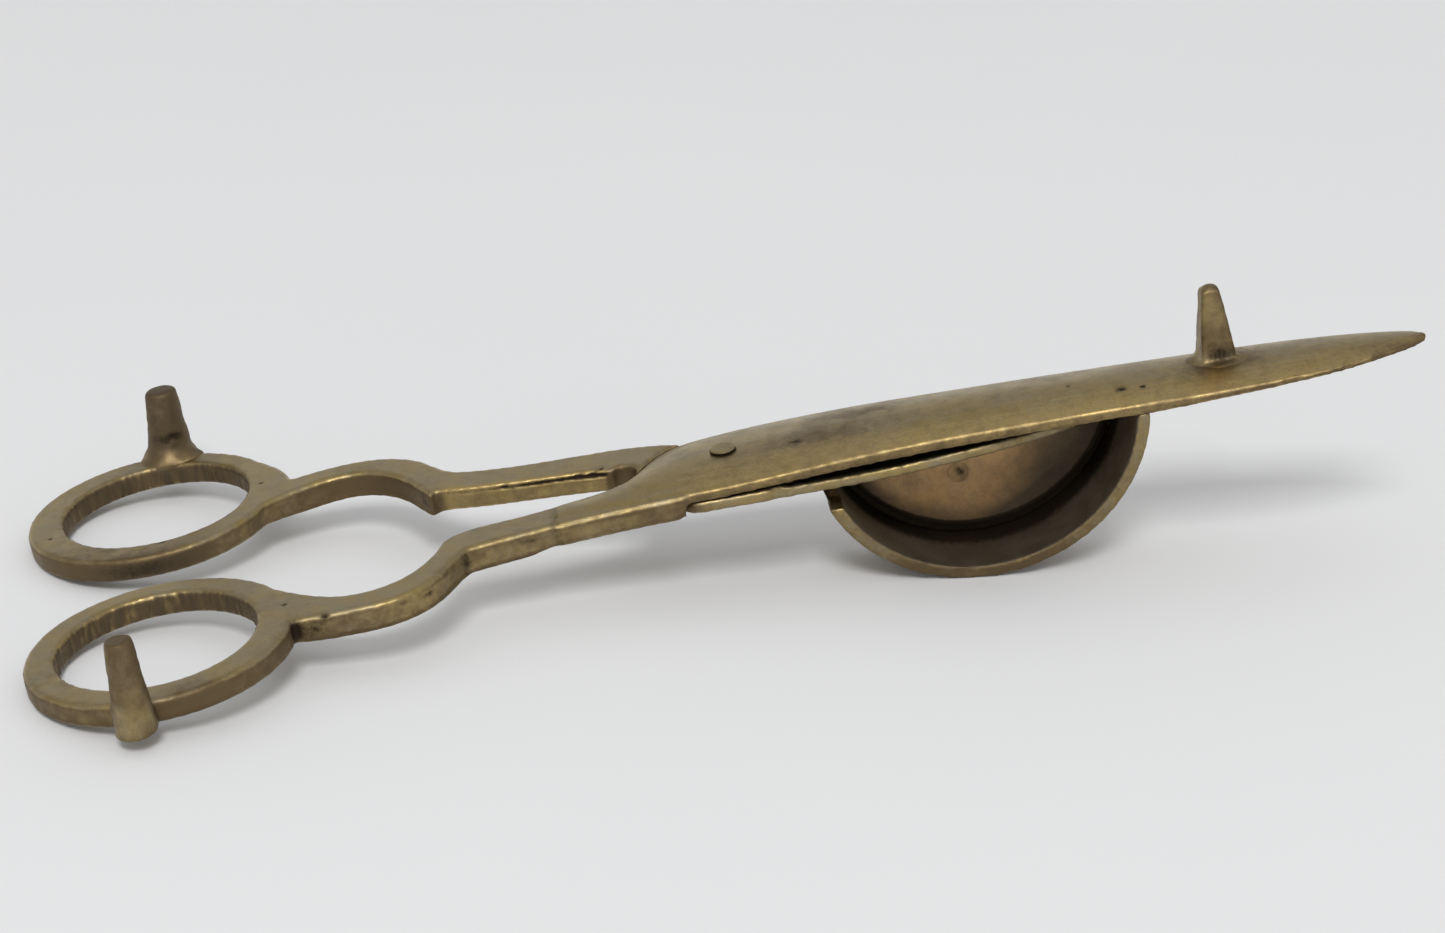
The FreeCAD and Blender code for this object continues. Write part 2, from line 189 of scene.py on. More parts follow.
def relax(values, pairs, rounds, share=0.5):
    for _ in range(rounds):
        values = values + share * (neighbour_mean(values, pairs) - values)
    return values


def back_to_surface(points, tree, near=0.03, far=0.08):
    """Pulls points that are almost on the CAD surface onto it, and leaves rounded edges alone."""
    nearest = to_plan(np.array([tree.find_nearest(Vector(p))[0] for p in to_world(points)]))
    gap = np.linalg.norm(nearest - points, axis=1)
    pull = 1 - step(near, far, gap)
    return points + (nearest - points) * pull[:, None]


def onto_sharp_edges(points, mesh, reach):
    """Gathers the points beside each sharp CAD edge onto it, so that the edge runs straight."""
    outline = bmesh.new()
    outline.from_mesh(mesh)
    bmesh.ops.remove_doubles(outline, verts=outline.verts, dist=WELD * MM)
    marks = []
    for edge in outline.edges:
        if len(edge.link_faces) == 2 and edge.calc_face_angle() > SHARP:
            count = max(2, math.ceil(edge.calc_length() / (reach * MM / 3)))
            shares = np.linspace(0, 1, count)[:, None]
            ends = np.array([vert.co for vert in edge.verts])
            marks.append(ends[0] * (1 - shares) + ends[1] * shares)
    outline.free()
    if not marks:
        return points
    marks = np.concatenate(marks)
    tree = KDTree(len(marks))
    for index, place in enumerate(marks):
        tree.insert(place, index)
    tree.balance()
    found = [tree.find(place) for place in to_world(points)]
    close = np.array([gap for place, index, gap in found]) < reach * MM
    gathered = to_plan(np.array([place for place, index, gap in found]))
    return np.where(close[:, None], gathered, points)


def voxel_copy(node, name, voxel, mounds):
    """The CAD node and its mounds of braze as one dense closed skin, in an object of its own."""
    rough = bmesh.new()
    rough.from_mesh(frame["nodes"][node].data)
    for centre, radii in mounds:
        place = PLAN @ Matrix.Translation(centre) @ Matrix.Diagonal((*radii, 1))
        bmesh.ops.create_icosphere(rough, subdivisions=4, radius=1.0, matrix=place)
    joined = bpy.data.meshes.new(name)
    rough.to_mesh(joined)
    rough.free()
    piece = bpy.data.objects.new(name, joined)
    scene.collection.objects.link(piece)
    remesh = piece.modifiers.new("dense", "REMESH")
    remesh.mode = "VOXEL"
    remesh.voxel_size = voxel * MM
    graph = bpy.context.evaluated_depsgraph_get()
    dense = bpy.data.meshes.new_from_object(piece.evaluated_get(graph))
    piece.modifiers.clear()
    piece.data = dense
    dense.name = name
    return piece


def refined(node, voxel, rounds=4, mounds=(), soft=None, soft_rounds=0):
    """A dense copy of a CAD node with its hard edges slightly rounded, as casting leaves them.

    Mounds are (centre, radii) blobs of braze that melt into it. Where soft(points) is 1, the
    edges are rounded for soft_rounds more.
    """
    source = frame["nodes"][node]
    piece = voxel_copy(node, node + "_cast", voxel, mounds)
    tree = BVHTree.FromObject(source, bpy.context.evaluated_depsgraph_get())
    pairs = edge_pairs(piece.data)
    points = plan_points(piece.data)
    held = rounds <= HELD_ROUNDS
    if held:
        points = back_to_surface(points, tree, voxel, 2 * voxel)
        points = onto_sharp_edges(points, source.data, SNAP * voxel)
    points = relax(points, pairs, rounds)
    if soft is not None:
        points = relax(points, pairs, soft_rounds, 0.5 * soft(points)[:, None])
    if held:
        points = back_to_surface(points, tree)
    put_points(piece.data, relax(points, pairs, 1))
    return piece


def displaced(piece, depth_of):
    """Moves each point along its normal by depth_of(points, normals), in millimetres."""
    points, normals = shape_of(piece)
    put_points(piece.data, points + normals * depth_of(points, normals)[:, None])


def paint(piece, name, values):
    layer = piece.data.attributes.new(name, "FLOAT", "POINT")
    layer.data.foreach_set("value", values.astype(np.float32))


def edge_marks(piece, voxel):
    """Convex edges have values up to 1, and creases have values down to -1."""
    pairs = edge_pairs(piece.data)
    points, normals = shape_of(piece)
    away = points - neighbour_mean(points, pairs)
    curve = np.einsum("ij,ij->i", away, normals) / voxel
    return np.clip(relax(curve, pairs, 2) * EDGE_GAIN, -1, 1)


def shade_smooth(piece):
    piece.data.polygons.foreach_set("use_smooth", [True] * len(piece.data.polygons))
    piece.data.update()


# ---------------------------------------------------------------- materials
def node_maker(tree):
    """A function that adds a node to the tree. An input is a value or another node's output."""
    def make(kind, inputs=None, **settings):
        made = tree.nodes.new(kind)
        for key, value in settings.items():
            setattr(made, key, value)
        for key, value in (inputs or {}).items():
            socket = made.inputs[key]
            if isinstance(value, bpy.types.NodeSocket):
                tree.links.new(value, socket)
            else:
                socket.default_value = value
        return made
    return make


def new_tree(owner):
    """The owner's empty node tree and the function that fills it."""
    owner.use_nodes = True
    owner.node_tree.nodes.clear()
    return owner.node_tree, node_maker(owner.node_tree)


def opaque(colour):
    """Adds the alpha that a colour socket wants, and leaves another node's output as it is."""
    return colour if isinstance(colour, bpy.types.NodeSocket) else (*colour, 1)


# Linear colours of old brass.
GREY_BLOOM = (0.315, 0.264, 0.168)
OLIVE_BRASS = (0.350, 0.264, 0.112)
RUBBED_GOLD = (0.48, 0.345, 0.135)
BROWN_PATINA = (0.150, 0.106, 0.056)
# The two dark tones below are soot and dirt, and also painted shade in gaps and recesses.
BROWN_SOOT_AND_SHADE = (0.088, 0.072, 0.053)
BLACK_DIRT_AND_SHADE = (0.040, 0.029, 0.019)
ALONG_BLADE = (0.05, 0.9, 0.9)      # stretches the streaks' noise along X
DULLED = 0.16                       # roughness that a dulled edge gains
PATINA_DULLED = 0.14                # roughness that full patina adds
DIRT_DULLED = 0.22                  # roughness that soot or dirt adds
GRIT = 0.05                         # height of the finest relief, in millimetres


def aged_brass(
    name,
    body=OLIVE_BRASS,
    grey=GREY_BLOOM,
    sooty=BROWN_SOOT_AND_SHADE,
    streaks=ALONG_BLADE,
    rough=0.38,
    grime=0.5,
):
    """Old cast brass: olive-brown metal, grey bloom, brown patina, rubbed golden places and
    painted shade.

    Streaks scales the streaks' noise along each axis, and grime is how strong the brown specks
    are.
    """
    mat = bpy.data.materials.new(name)
    tree, make = new_tree(mat)

    row = make("ShaderNodeTexCoord")
    plan = make(
        "ShaderNodeMapping",
        {
            "Vector": row.outputs["Object"],
            "Location": PLAN.to_translation(),
            "Rotation": PLAN.to_euler(),
            "Scale": (MM, MM, MM),
        },
        vector_type="TEXTURE",
    ).outputs[0]
    drawn = make("ShaderNodeMapping", {"Vector": plan, "Scale": streaks}).outputs[0]

    def cloud(vector, scale, detail=4.0, roughness=0.55, distortion=0.0):
        return make(
            "ShaderNodeTexNoise",
            {
                "Vector": vector,
                "Scale": scale,
                "Detail": detail,
                "Roughness": roughness,
                "Distortion": distortion,
            },
        ).outputs["Fac"]

    def ramp(value, low, high, out_low=0.0, out_high=1.0):
        return make(
            "ShaderNodeMapRange",
            {"Value": value, 1: low, 2: high, 3: out_low, 4: out_high},
            interpolation_type="SMOOTHSTEP",
        ).outputs[0]

    def blend(share, a, b):
        """Colour a where share is 0, and colour b where it is 1."""
        inputs = {0: share, 6: opaque(a), 7: opaque(b)}
        return make("ShaderNodeMix", inputs, data_type="RGBA").outputs[2]

    def maths(a, b, operation="ADD"):
        return make("ShaderNodeMath", {0: a, 1: b}, operation=operation).outputs[0]

    def times(a, b):
        return maths(a, b, "MULTIPLY")

    def attribute(key):
        return make("ShaderNodeAttribute", attribute_name=key).outputs["Fac"]

    def around_zero(value, share):
        return times(maths(value, 0.5, "SUBTRACT"), share)

    # Noise, from broad drifts to fine grain. The blade is streaked along its length, and the
    # handles are mottled.
    blotch = cloud(plan, 0.16, 5.0, 0.6, 0.6)
    patch = cloud(plan, 0.55, 5.0, 0.65, 0.4)
    along = make("ShaderNodeSeparateXYZ", {"Vector": plan}).outputs["X"]
    drawn_here = ramp(along, -30.0, -12.0, 0.15, 1.0)
    streak = around_zero(cloud(drawn, 1.0, 4.0, 0.6), 1.0)
    mottle = around_zero(cloud(plan, 0.4, 4.0, 0.5), 0.8)
    drag = times(streak, drawn_here)
    drag = maths(drag, times(mottle, maths(1.0, drawn_here, "SUBTRACT")))
    drag = maths(drag, 0.5)
    speck = cloud(plan, 1.9, 3.0, 0.7)
    fine = cloud(plan, 7.0, 2.0, 0.6)
    grainy = maths(around_zero(cloud(plan, 3.6, 3.0, 0.75), 1.0), around_zero(fine, 0.8))

    edge = attribute("edge")
    soot = attribute("soot")
    stain = attribute("stain")
    rub = attribute("rub")
    patina = attribute("patina")

    # Layers of colour, from the metal up.
    bloom = ramp(maths(blotch, drag), 0.84, 1.2)
    colour = blend(bloom, body, grey)
    warm = ramp(maths(maths(drag, speck), rub), 1.02, 1.42, 0.0, 0.7)
    colour = blend(warm, colour, RUBBED_GOLD)
    specks = ramp(speck, 0.60, 0.74, 0.0, grime)
    colour = blend(specks, colour, BROWN_PATINA)
    aged = ramp(maths(patina, around_zero(patch, 1.1)), 0.0, 0.95)
    colour = blend(aged, colour, BROWN_PATINA)
    worn = ramp(maths(edge, around_zero(patch, 2.2)), 0.40, 1.20, 0.0, 0.35)
    colour = blend(worn, colour, RUBBED_GOLD)
    tarnish = ramp(grainy, -0.05, 0.40, 0.0, 0.45)
    colour = blend(tarnish, colour, BROWN_PATINA)
    crease = ramp(edge, -0.2, -0.8, 0.0, 0.8)
    colour = blend(crease, colour, BLACK_DIRT_AND_SHADE)
    # Soot and stain also carry painted shade: dark gaps, recesses and shadows painted into the
    # colour.
    colour = blend(soot, colour, sooty)
    dirt_and_shade = ramp(maths(stain, around_zero(speck, 0.8)), 0.15, 0.85)
    colour = blend(dirt_and_shade, colour, BLACK_DIRT_AND_SHADE)

    shine = ramp(blotch, 0.35, 0.7, rough - 0.06, rough + 0.09)
    shine = maths(shine, times(aged, PATINA_DULLED))
    shine = maths(shine, ramp(attribute("dull"), 0.0, 1.0, 0.0, DULLED))
    shine = maths(shine, times(maths(soot, dirt_and_shade, "MAXIMUM"), DIRT_DULLED))

    grain = maths(times(drag, 0.5), times(fine, 0.35))
    relief = make(
        "ShaderNodeBump",
        {"Height": grain, "Strength": 1.0, "Distance": GRIT * MM},
    ).outputs[0]
    shader = make(
        "ShaderNodeBsdfPrincipled",
        {
            "Base Color": colour,
            "Metallic": 1.0,
            "Roughness": shine,
            "Normal": relief,
        },
    )
    make("ShaderNodeOutputMaterial", {"Surface": shader.outputs[0]})
    return mat


MASKS = ("soot", "stain", "rub", "patina")
EDGE_PATINA = 0.45


def finish_piece(piece, body, node, slot, material, voxel, calm=0.0, **masks):
    """Paints the wear and painted-shade masks, then hangs the piece on its body in place of its
    CAD node.

    Convex edges are rubbed bright where calm is 0 and dulled by patina where it is 1.
    """
    marks = edge_marks(piece, voxel)
    rubbed = np.maximum(marks, 0)
    paint(piece, "edge", np.where(marks > 0, marks * (1 - calm), marks))
    paint(piece, "dull", rubbed * calm)
    masks["patina"] = masks.get("patina", 0.0) + EDGE_PATINA * rubbed * calm
    zero = np.zeros(len(piece.data.vertices))
    for name in MASKS:
        paint(piece, name, zero + masks.get(name, 0.0))
    shade_smooth(piece)
    piece.data.materials.clear()
    piece.data.materials.append(material)
    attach(piece, body)
    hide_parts(node)


# ---------------------------------------------------------------- casting marks
def wobble(points, seed, depth=0.045):
    """The uneven skin of a sand casting that has been filed by hand."""
    return depth * noise(points, 6.5, seed) + 0.35 * depth * noise(points, 1.9, seed + 1)


def on_hole_wall(points, normals, hole):
    """1 on the wall of a finger hole."""
    x, y = points[:, 0] - hole[0], points[:, 1] - hole[1]
    radius = np.hypot(x, y)
    facing = step(0.5, 0.9, -(normals[:, 0] * x + normals[:, 1] * y) / radius)
    return facing * (1 - step(0.3, 0.6, np.abs(radius - HOLE_R)))


def upright_strokes(points, hole, seed):
    """Narrow upright marks round a finger hole, from about -1.5 to 1.5."""
    around = np.arctan2(points[:, 1] - hole[1], points[:, 0] - hole[0]) * HOLE_R
    unrolled = np.stack([around, points[:, 2], 0 * around], 1)
    return noise(unrolled, (0.5, 2.6, 1), seed) + 0.8 * noise(unrolled, (0.27, 1.6, 1), seed + 1)


def hole_marks(points, normals, hole, seed):
    """File marks on the wall of a finger hole."""
    strokes = 0.07 * upright_strokes(points, hole, seed) - 0.03
    return on_hole_wall(points, normals, hole) * strokes


def upright_side(normals):
    """1 on upright sides, 0 on upper and lower faces."""
    return 1 - step(0.25, 0.6, np.abs(normals[:, 2]))


def deeper_between(points, normals, start, end):
    """Extra depth underneath. It eases in over start, a pair of X, and eases out over end."""
    x = points[:, 0]
    return UNDERSIDE * step(*start, x) * step(*end, x) * step(0.2, 0.8, -normals[:, 2])


def handle_masks(points, normals, hole, seed):
    """Patina, soot and rub on a ring and shank: brown sides, streaky holes."""
    wall = on_hole_wall(points, normals, hole)
    strokes = upright_strokes(points, hole, seed)
    side = upright_side(normals)
    under = step(0.3, 0.8, -normals[:, 2])
    patina = 0.10 + side * (0.62 + 0.16 * noise(points, (4.5, 4.5, 1.6), seed + 2)) + 0.25 * under
    patina += wall * (0.26 + 0.26 * strokes)
    patina += 0.12 * noise(points, 9.0, seed + 3)
    soot = wall * np.clip(0.28 + 0.30 * strokes, 0, 0.7)
    rub = 0.14 * side + wall * (0.12 - 0.02 * (points[:, 0] - hole[0]))
    return patina, soot, rub


# ---------------------------------------------------------------- box arm
ARM_VOXEL = 0.25
ARM_SOFT_ROUNDS = 9
SEAM_X = -21.4              # a joint across the shank, where the blade's half begins
RAISED = 0.13               # how much thicker the casting is from the seam to the lap

# Centre, radii and depth of each pit, then centre, radii and strength of each stain.
BLADE_SPOTS = [
    ((9.2, -1.6, 1.1), (1.1, 0.9, 1.0), 0.05),
    ((49.3, -3.4, 0.9), (0.9, 0.6, 0.8), 0.10),
    ((52.0, -3.7, 0.9), (0.45, 0.4, 0.6), 0.07),
    ((43.4, -0.3, 1.2), (0.5, 0.4, 0.6), 0.04),
]
ARM_PITS = [
    ((-49.5, -23.7, -0.2), (0.5, 0.5, 0.5), 0.30),
    ((-53.2, -24.1, -1.3), (0.8, 0.9, 1.8), 0.35),
    ((-54.4, -19.2, 0.0), (0.45, 0.35, 0.4), 0.10),
    ((-37.3, -22.3, -1.0), (0.9, 0.7, 0.5), 0.10),
]
WORN_CORNER = ((-5.4, -9.2, -3.2), (1.3, 1.6, 1.1), 0.18)
ARM_STAINS = [
    ((-51.0, -23.6, -1.6), (2.2, 2.5, 1.6), 0.60),
    ((-40.3, -22.0, -0.9), (1.1, 2.5, 0.5), 0.60),
    ((-37.4, -20.6, -1.3), (1.0, 2.5, 0.6), 0.65),
    ((-32.9, -13.2, -1.6), (0.9, 2.5, 2.0), 0.65),
    ((-24.8, -11.2, -1.2), (2.6, 1.5, 0.6), 0.55),
    ((-13.5, -9.0, -2.6), (3.0, 2.5, 0.6), 0.35),
]
NECK_POLISH = ((-41.0, -22.0, -1.5), (8.0, 4.0, 3.0), -0.45)
# Painted shadow: the front foot's shadow on ring A's near side, given as extra patina and dulled
# edges.
FOOT_SHADOW_ON_RING = ((-63.0, -37.0, -1.0), (7.0, 3.0, 3.0), 0.70)
BLADE_PATINA = [
    ((11.5, -1.2, 1.2), (7.5, 3.0, 3.0), 0.45),
    ((17.0, 4.0, 1.2), (7.0, 2.4, 3.0), 0.45),
    ((62.0, -0.6, 1.2), (5.4, 3.4, 3.0), 0.85),
    ((84.0, -4.2, 0.0), (7.0, 1.6, 2.0), 0.35),
]

# The blade's crown: x, middle, half width, height of the crown, height at the edges.
CROWN = [
    (-22.5, -7.9, 2.4, 0.22, -0.12),
    (-17.0, -7.0, 2.8, 0.36, -0.12),
    (-13.0, -6.1, 3.5, 0.50, -0.12),
    (-9.5, -3.4, 5.8, 0.70, -0.12),
    (-5.0, -1.2, 7.9, 0.90, -0.12),
    (1.0, -0.5, 8.4, 1.03, -0.06),
    (9.0, 0.3, 8.2, 1.22, 0.0),
    (20.0, 0.85, 7.8, 1.40, 0.0),
    (36.0, 0.5, 7.2, 1.40, 0.0),
    (53.0, -0.3, 6.8, 1.30, 0.0),
    (60.0, -0.7, 6.6, 1.20, 0.0),
    (68.0, -1.0, 6.2, 1.10, 0.0),
    (77.0, -1.3, 5.0, 0.90, 0.0),
    (83.5, -1.3, 3.3, 0.62, 0.0),
    (89.0, -1.7, 1.4, 0.25, 0.0),
]
STATIONS = np.arange(-26.0, 92.0, 0.5)
EASE_REACH = 4              # stations on each side that each smoothing pass averages


def eased(column):
    """One column of the crown's table, smoothed along the blade."""
    values = np.interp(STATIONS, [row[0] for row in CROWN], [row[column] for row in CROWN])
    window = np.ones(2 * EASE_REACH + 1) / (2 * EASE_REACH + 1)
    for _ in range(3):
        values = np.convolve(np.pad(values, EASE_REACH, "edge"), window, "valid")
    return values


VAULT = [eased(column) for column in (1, 2, 3, 4)]


def crown_z(x, y):
    middle, half, height, edge = (np.interp(x, STATIONS, column) for column in VAULT)
    return height + (edge - height) * ((y - middle) / half) ** 2


def lay_on_crown(piece):
    """Lays the blade's top on one smooth vault, free of the CAD mesh's flat facets."""
    points, normals = shape_of(piece)
    x, y, z = points.T
    gap = np.where(x < -5.0, np.maximum(crown_z(x, y), 0.0), crown_z(x, y)) - z
    on_top = step(-22.0, -16.0, x) * step(0.80, 0.95, normals[:, 2])
    points[:, 2] += gap * on_top * (1 - step(0.3, 0.6, np.abs(gap)))
    put_points(piece.data, relax(points, edge_pairs(piece.data), 1))


def seam(points, at, width):
    """1 along a line across the front shank."""
    across = np.abs(points[:, 1] + 8.0) < 5
    return np.exp(-(((points[:, 0] - at) / width) ** 2)) * across


def box_arm_marks(points, normals):
    x, y, z = points.T
    side = upright_side(normals)
    on_blade = step(-7.0, -3.0, x)
    depth = wobble(points, 11, 0.03) * (1 - 0.5 * on_blade)
    depth += hole_marks(points, normals, HOLE_A, 21)
    depth -= spots_at(points, BLADE_SPOTS + ARM_PITS + [WORN_CORNER])
    depth += side * 0.05 * (1 - on_blade) * noise(points, (1.4, 1.4, 0.6), 31)
    raised = step(SEAM_X - 0.5, SEAM_X + 0.3, x) * (1 - step(-7.0, -5.5, x))
    depth += RAISED * raised * (1 - step(0.2, 0.6, normals[:, 2]))
    depth += deeper_between(points, normals, (-56.0, -48.0), (-22.0, -26.0))
    depth -= 0.05 * seam(points, SEAM_X, 0.6)
    ragged_tip = step(64.0, 72.0, x) * side * step(0.0, 3.0, -y)
    depth += ragged_tip * 0.16 * noise(points, (1.6, 1.6, 1.6), 33)
    return depth


def box_arm_masks(points, normals):
    x, y, z = points.T
    side = upright_side(normals)
    patina, soot, rub = handle_masks(points, normals, HOLE_A, 21)
    # Extra patina here also paints the front foot's shadow on the ring.
    patina += spots_at(points, [NECK_POLISH, FOOT_SHADOW_ON_RING]) - 0.20 * side * step(-38.0, -32.0, x)
    on_blade = step(-8.0, -2.0, x)
    on_blade_patina = 0.18 + 0.34 * side + 0.10 * noise(points, (14, 4, 4), 34)
    patina = patina * (1 - on_blade) + on_blade * on_blade_patina
    patina += spots_at(points, BLADE_PATINA)
    stain = 0.85 * dirt_in(points, BLADE_SPOTS, 1.4)
    stain *= 0.75 + 0.6 * noise(points, (0.8, 0.5, 0.8), 35)
    stain += 0.9 * dirt_in(points, ARM_PITS, 1.2)
    stain += 0.42 * seam(points, SEAM_X - 0.3, 0.8)
    stain += spots_at(points, ARM_STAINS)
    # Painted shade: the underside over the lower blade is stained black, for the dark gap between
    # the blades.
    shaded_under_blade = step(-2.0, 0.0, x) * step(54.0, 50.0, x) * step(0.5, 0.9, -normals[:, 2])
    stain += 1.3 * shaded_under_blade
    rub += 0.32 * on_blade * step(0.0, -6.0, y)
    # Edges in the front foot's painted shadow are dulled as well.
    centre, radii, strength = FOOT_SHADOW_ON_RING
    calm = 0.5 + 0.4 * step(-54.0, -48.0, x) + bump_at(points, centre, radii)
    return {
        "patina": patina, "soot": soot, "stain": stain, "rub": rub, "calm": np.clip(calm, 0, 1),
    }


def make_box_arm():
    piece = refined(
        "box_arm", ARM_VOXEL,
        soft=lambda q: 1 - 0.25 * step(-12.0, -6.0, q[:, 0]), soft_rounds=ARM_SOFT_ROUNDS,
    )
    lay_on_crown(piece)
    displaced(piece, box_arm_marks)
    brass = aged_brass("aged_brass_box_arm")
    masks = box_arm_masks(*shape_of(piece))
    finish_piece(piece, FIXED, "box_arm", "arm_brass", brass, ARM_VOXEL, **masks)


# ---------------------------------------------------------------- press arm
GROOVE_FROM, GROOVE_TO = -36.0, -14.2
GROOVE_Z = -0.62
INNER_EDGE = [(-36.2, 6.1), (-31.7, 5.0), (-24.2, 4.0), (-13.8, 2.4)]
PRESS_PITS = [
    ((-16.5, 3.0, -0.1), (0.7, 0.5, 0.5), 0.30),
    ((-18.2, 3.4, -0.2), (0.6, 0.4, 0.5), 0.22),
    ((-15.2, 3.6, 0.0), (0.5, 0.4, 0.4), 0.20),
    ((-27.6, 4.3, -0.4), (0.5, 0.4, 0.4), 0.15),
    ((-58.7, 18.4, 0.0), (0.45, 0.4, 0.4), 0.10),
    ((-85.5, 12.7, 0.0), (0.4, 0.4, 0.4), 0.10),
    ((-70.8, 5.5, 0.0), (0.8, 0.5, 0.4), 0.05),
]
BEND_STAIN = ((-37.6, 7.0, -1.6), (0.9, 2.5, 1.8), 0.55)
RING_SOOT = ((-73.0, 1.8, -1.8), (9.5, 3.0, 1.8), 0.60)
RING_STAIN = ((-74.0, 1.8, -1.6), (7.5, 3.0, 1.7), 0.48)
PRESS_PATINA = [
    ((-80.0, 6.0, -1.5), (9.0, 3.0, 4.0), 0.35),
    ((-72.5, 1.8, -1.5), (9.0, 3.0, 4.0), 0.75),
    ((-71.3, 33.0, 0.0), (8.0, 5.0, 3.0), 0.35),
]
PRESS_SIDE_PATINA = [
    ((-24.0, 4.0, -2.0), (11.0, 3.0, 1.6), 0.30),
    ((-46.0, 14.0, -1.6), (10.0, 6.0, 3.0), 0.35),
]
NOTCH_PATINA = ((-12.7, 1.8, -1.4), (2.0, 1.8, 1.6), 0.8)
LOWER_BLADE_SHADE_AND_DIRT = 0.55     # painted shade of the gap and some soot, on the lower blade's face under the other blade


def by_inner_edge(points):
    """1 along the shank's edge that faces the other arm, where the groove runs."""
    x, y = points[:, 0], points[:, 1]
    edge_y = np.interp(x, *zip(*INNER_EDGE))
    along = step(GROOVE_FROM, GROOVE_FROM + 1.5, x) * (1 - step(GROOVE_TO - 1, GROOVE_TO, x))
    return along * (1 - step(0.6, 1.1, np.abs(y - edge_y)))


def groove(points):
    ragged = 1.0 + 0.45 * noise(points, (1.2, 2, 2), 41)
    line = GROOVE_Z + 0.08 * noise(points, (2.5, 9, 9), 42)
    return ragged * np.exp(-(((points[:, 2] - line) / 0.24) ** 2))


def press_arm_marks(points, normals):
    towards_rivet = step(-29.0, -20.0, points[:, 0])
    depth = wobble(points, 12, 0.03)
    depth += deeper_between(points, normals, (-60.0, -52.0), (-34.0, -38.0))
    depth += hole_marks(points, normals, HOLE_B, 22)
    depth -= spots_at(points, PRESS_PITS)
    depth -= by_inner_edge(points) * (0.14 + 0.16 * towards_rivet) * groove(points)
    return depth


def press_arm_masks(points, normals):
    x, y, z = points.T
    side = upright_side(normals)
    near = by_inner_edge(points)
    on_blade = step(-6.0, 0.0, x)
    # Painted shade: the lower blade's face under the upper blade is darkened for the gap between
    # them, with some soot.
    shaded_under_blade = step(-3.0, -1.0, x) * step(0.5, 0.9, normals[:, 2]) * step(-1.3, -1.5, z)
    patina, soot, rub = handle_masks(points, normals, HOLE_B, 22)
    stain = 1.5 * near * groove(points) * (0.30 + 0.55 * step(-29.0, -20.0, x))
    stain += LOWER_BLADE_SHADE_AND_DIRT * shaded_under_blade
    stain += spots_at(points, [BEND_STAIN])
    stain += 0.8 * dirt_in(points, PRESS_PITS, 1.2)
    stain += spots_at(points, [RING_STAIN]) * side
    soot = soot * (1 - shaded_under_blade) + LOWER_BLADE_SHADE_AND_DIRT * shaded_under_blade
    soot += spots_at(points, [RING_SOOT]) * side
    patina += spots_at(points, PRESS_PATINA) + spots_at(points, PRESS_SIDE_PATINA) * side
    on_blade_patina = 0.14 + 0.12 * noise(points, 3.0, 43) + 0.20 * step(20.0, 40.0, x)
    patina = patina * (1 - 0.6 * near) * (1 - on_blade) + on_blade * on_blade_patina
    patina += spots_at(points, [NOTCH_PATINA])
    rub = rub * (1 - on_blade) + 0.35 * near
    # Painted shade: the lap's edge lies in the upper blade's shadow, so it is dulled by patina
    # rather than rubbed bright.
    shaded_lap_edge = step(-14.5, -13.0, x) * step(1.2, 2.2, y)
    calm = np.maximum(shaded_lap_edge, 0.5 * (1 - near))
    return {"patina": patina, "soot": soot, "stain": stain, "rub": rub, "calm": calm}


def make_press_arm():
    piece = refined(
        "press_arm", ARM_VOXEL,
        soft=lambda q: 1 - 0.25 * step(-36.0, -32.0, q[:, 0]), soft_rounds=ARM_SOFT_ROUNDS,
    )
    displaced(piece, press_arm_marks)
    brass = aged_brass("aged_brass_press_arm")
    masks = press_arm_masks(*shape_of(piece))
    finish_piece(piece, MOVING, "press_arm", "arm_brass", brass, ARM_VOXEL, **masks)


# ---------------------------------------------------------------- snuff box
BOX_VOXEL = 0.24
BACK_VOXEL = 0.3
WALL_SOOT = (0.150, 0.125, 0.095)
# Painted shade in the gap below the blades, at the wall's upper left end.
WALL_CORNER_SHADE = ((11.3, -2.0, -5.6), (2.6, 7.0, 3.2), 0.80)


def from_axis(points, axis):
    """How far each point is from a line along Y, given by its x and z."""
    return np.hypot(points[:, 0] - axis[0], points[:, 2] - axis[1])


def box_wall_masks(points, normals):
    x, y, z = points.T
    toward_axis = -(normals[:, 0] * (x - BOX_AXIS[0]) + normals[:, 2] * (z - BOX_AXIS[1]))
    toward_axis /= from_axis(points, BOX_AXIS)
    inside = step(0.35, 0.8, toward_axis)
    # Painted shadow: the inside is stained black deep in the box, in the recess below the press
    # plate. The soot inside is the box's own.
    deep = step(0.5, 4.5, y)
    # The wall's outside is darker towards its bottom.
    belly = 0.30 * step(-12.0, -18.0, z) * step(44.0, 34.0, x) + 0.22 * step(-14.0, -19.0, z)
    return {
        "patina": 0.34 + 0.20 * noise(points, 3.5, 52) + belly,
        "soot": 0.80 * inside,
        "stain": 0.9 * inside * deep + spots_at(points, [WALL_CORNER_SHADE]),
        "calm": 0.2,
    }


def make_box_wall(brass):
    piece = refined(
        "box_wall", BOX_VOXEL, soft=lambda q: np.full(len(q), 0.5), soft_rounds=6
    )
    displaced(piece, lambda q, m: wobble(q, 13, 0.03) + 0.02 * noise(q, 0.9, 51))
    masks = box_wall_masks(*shape_of(piece))
    finish_piece(piece, FIXED, "box_wall", "box_brass", brass, BOX_VOXEL, **masks)


def make_box_back(brass):
    piece = refined("box_back", BACK_VOXEL)
    displaced(piece, lambda q, m: wobble(q, 14))
    points, normals = shape_of(piece)
    facing_in = step(0.3, 0.8, -normals[:, 1])
    rim = step(15.0, 17.5, from_axis(points, BOX_AXIS))
    # The inner face is sooty, and black along its rim, in the corner with the wall.
    finish_piece(
        piece, FIXED, "box_back", "box_brass", brass, BACK_VOXEL,
        soot=0.8 * facing_in, patina=0.35, stain=1.5 * facing_in * rim,
    )


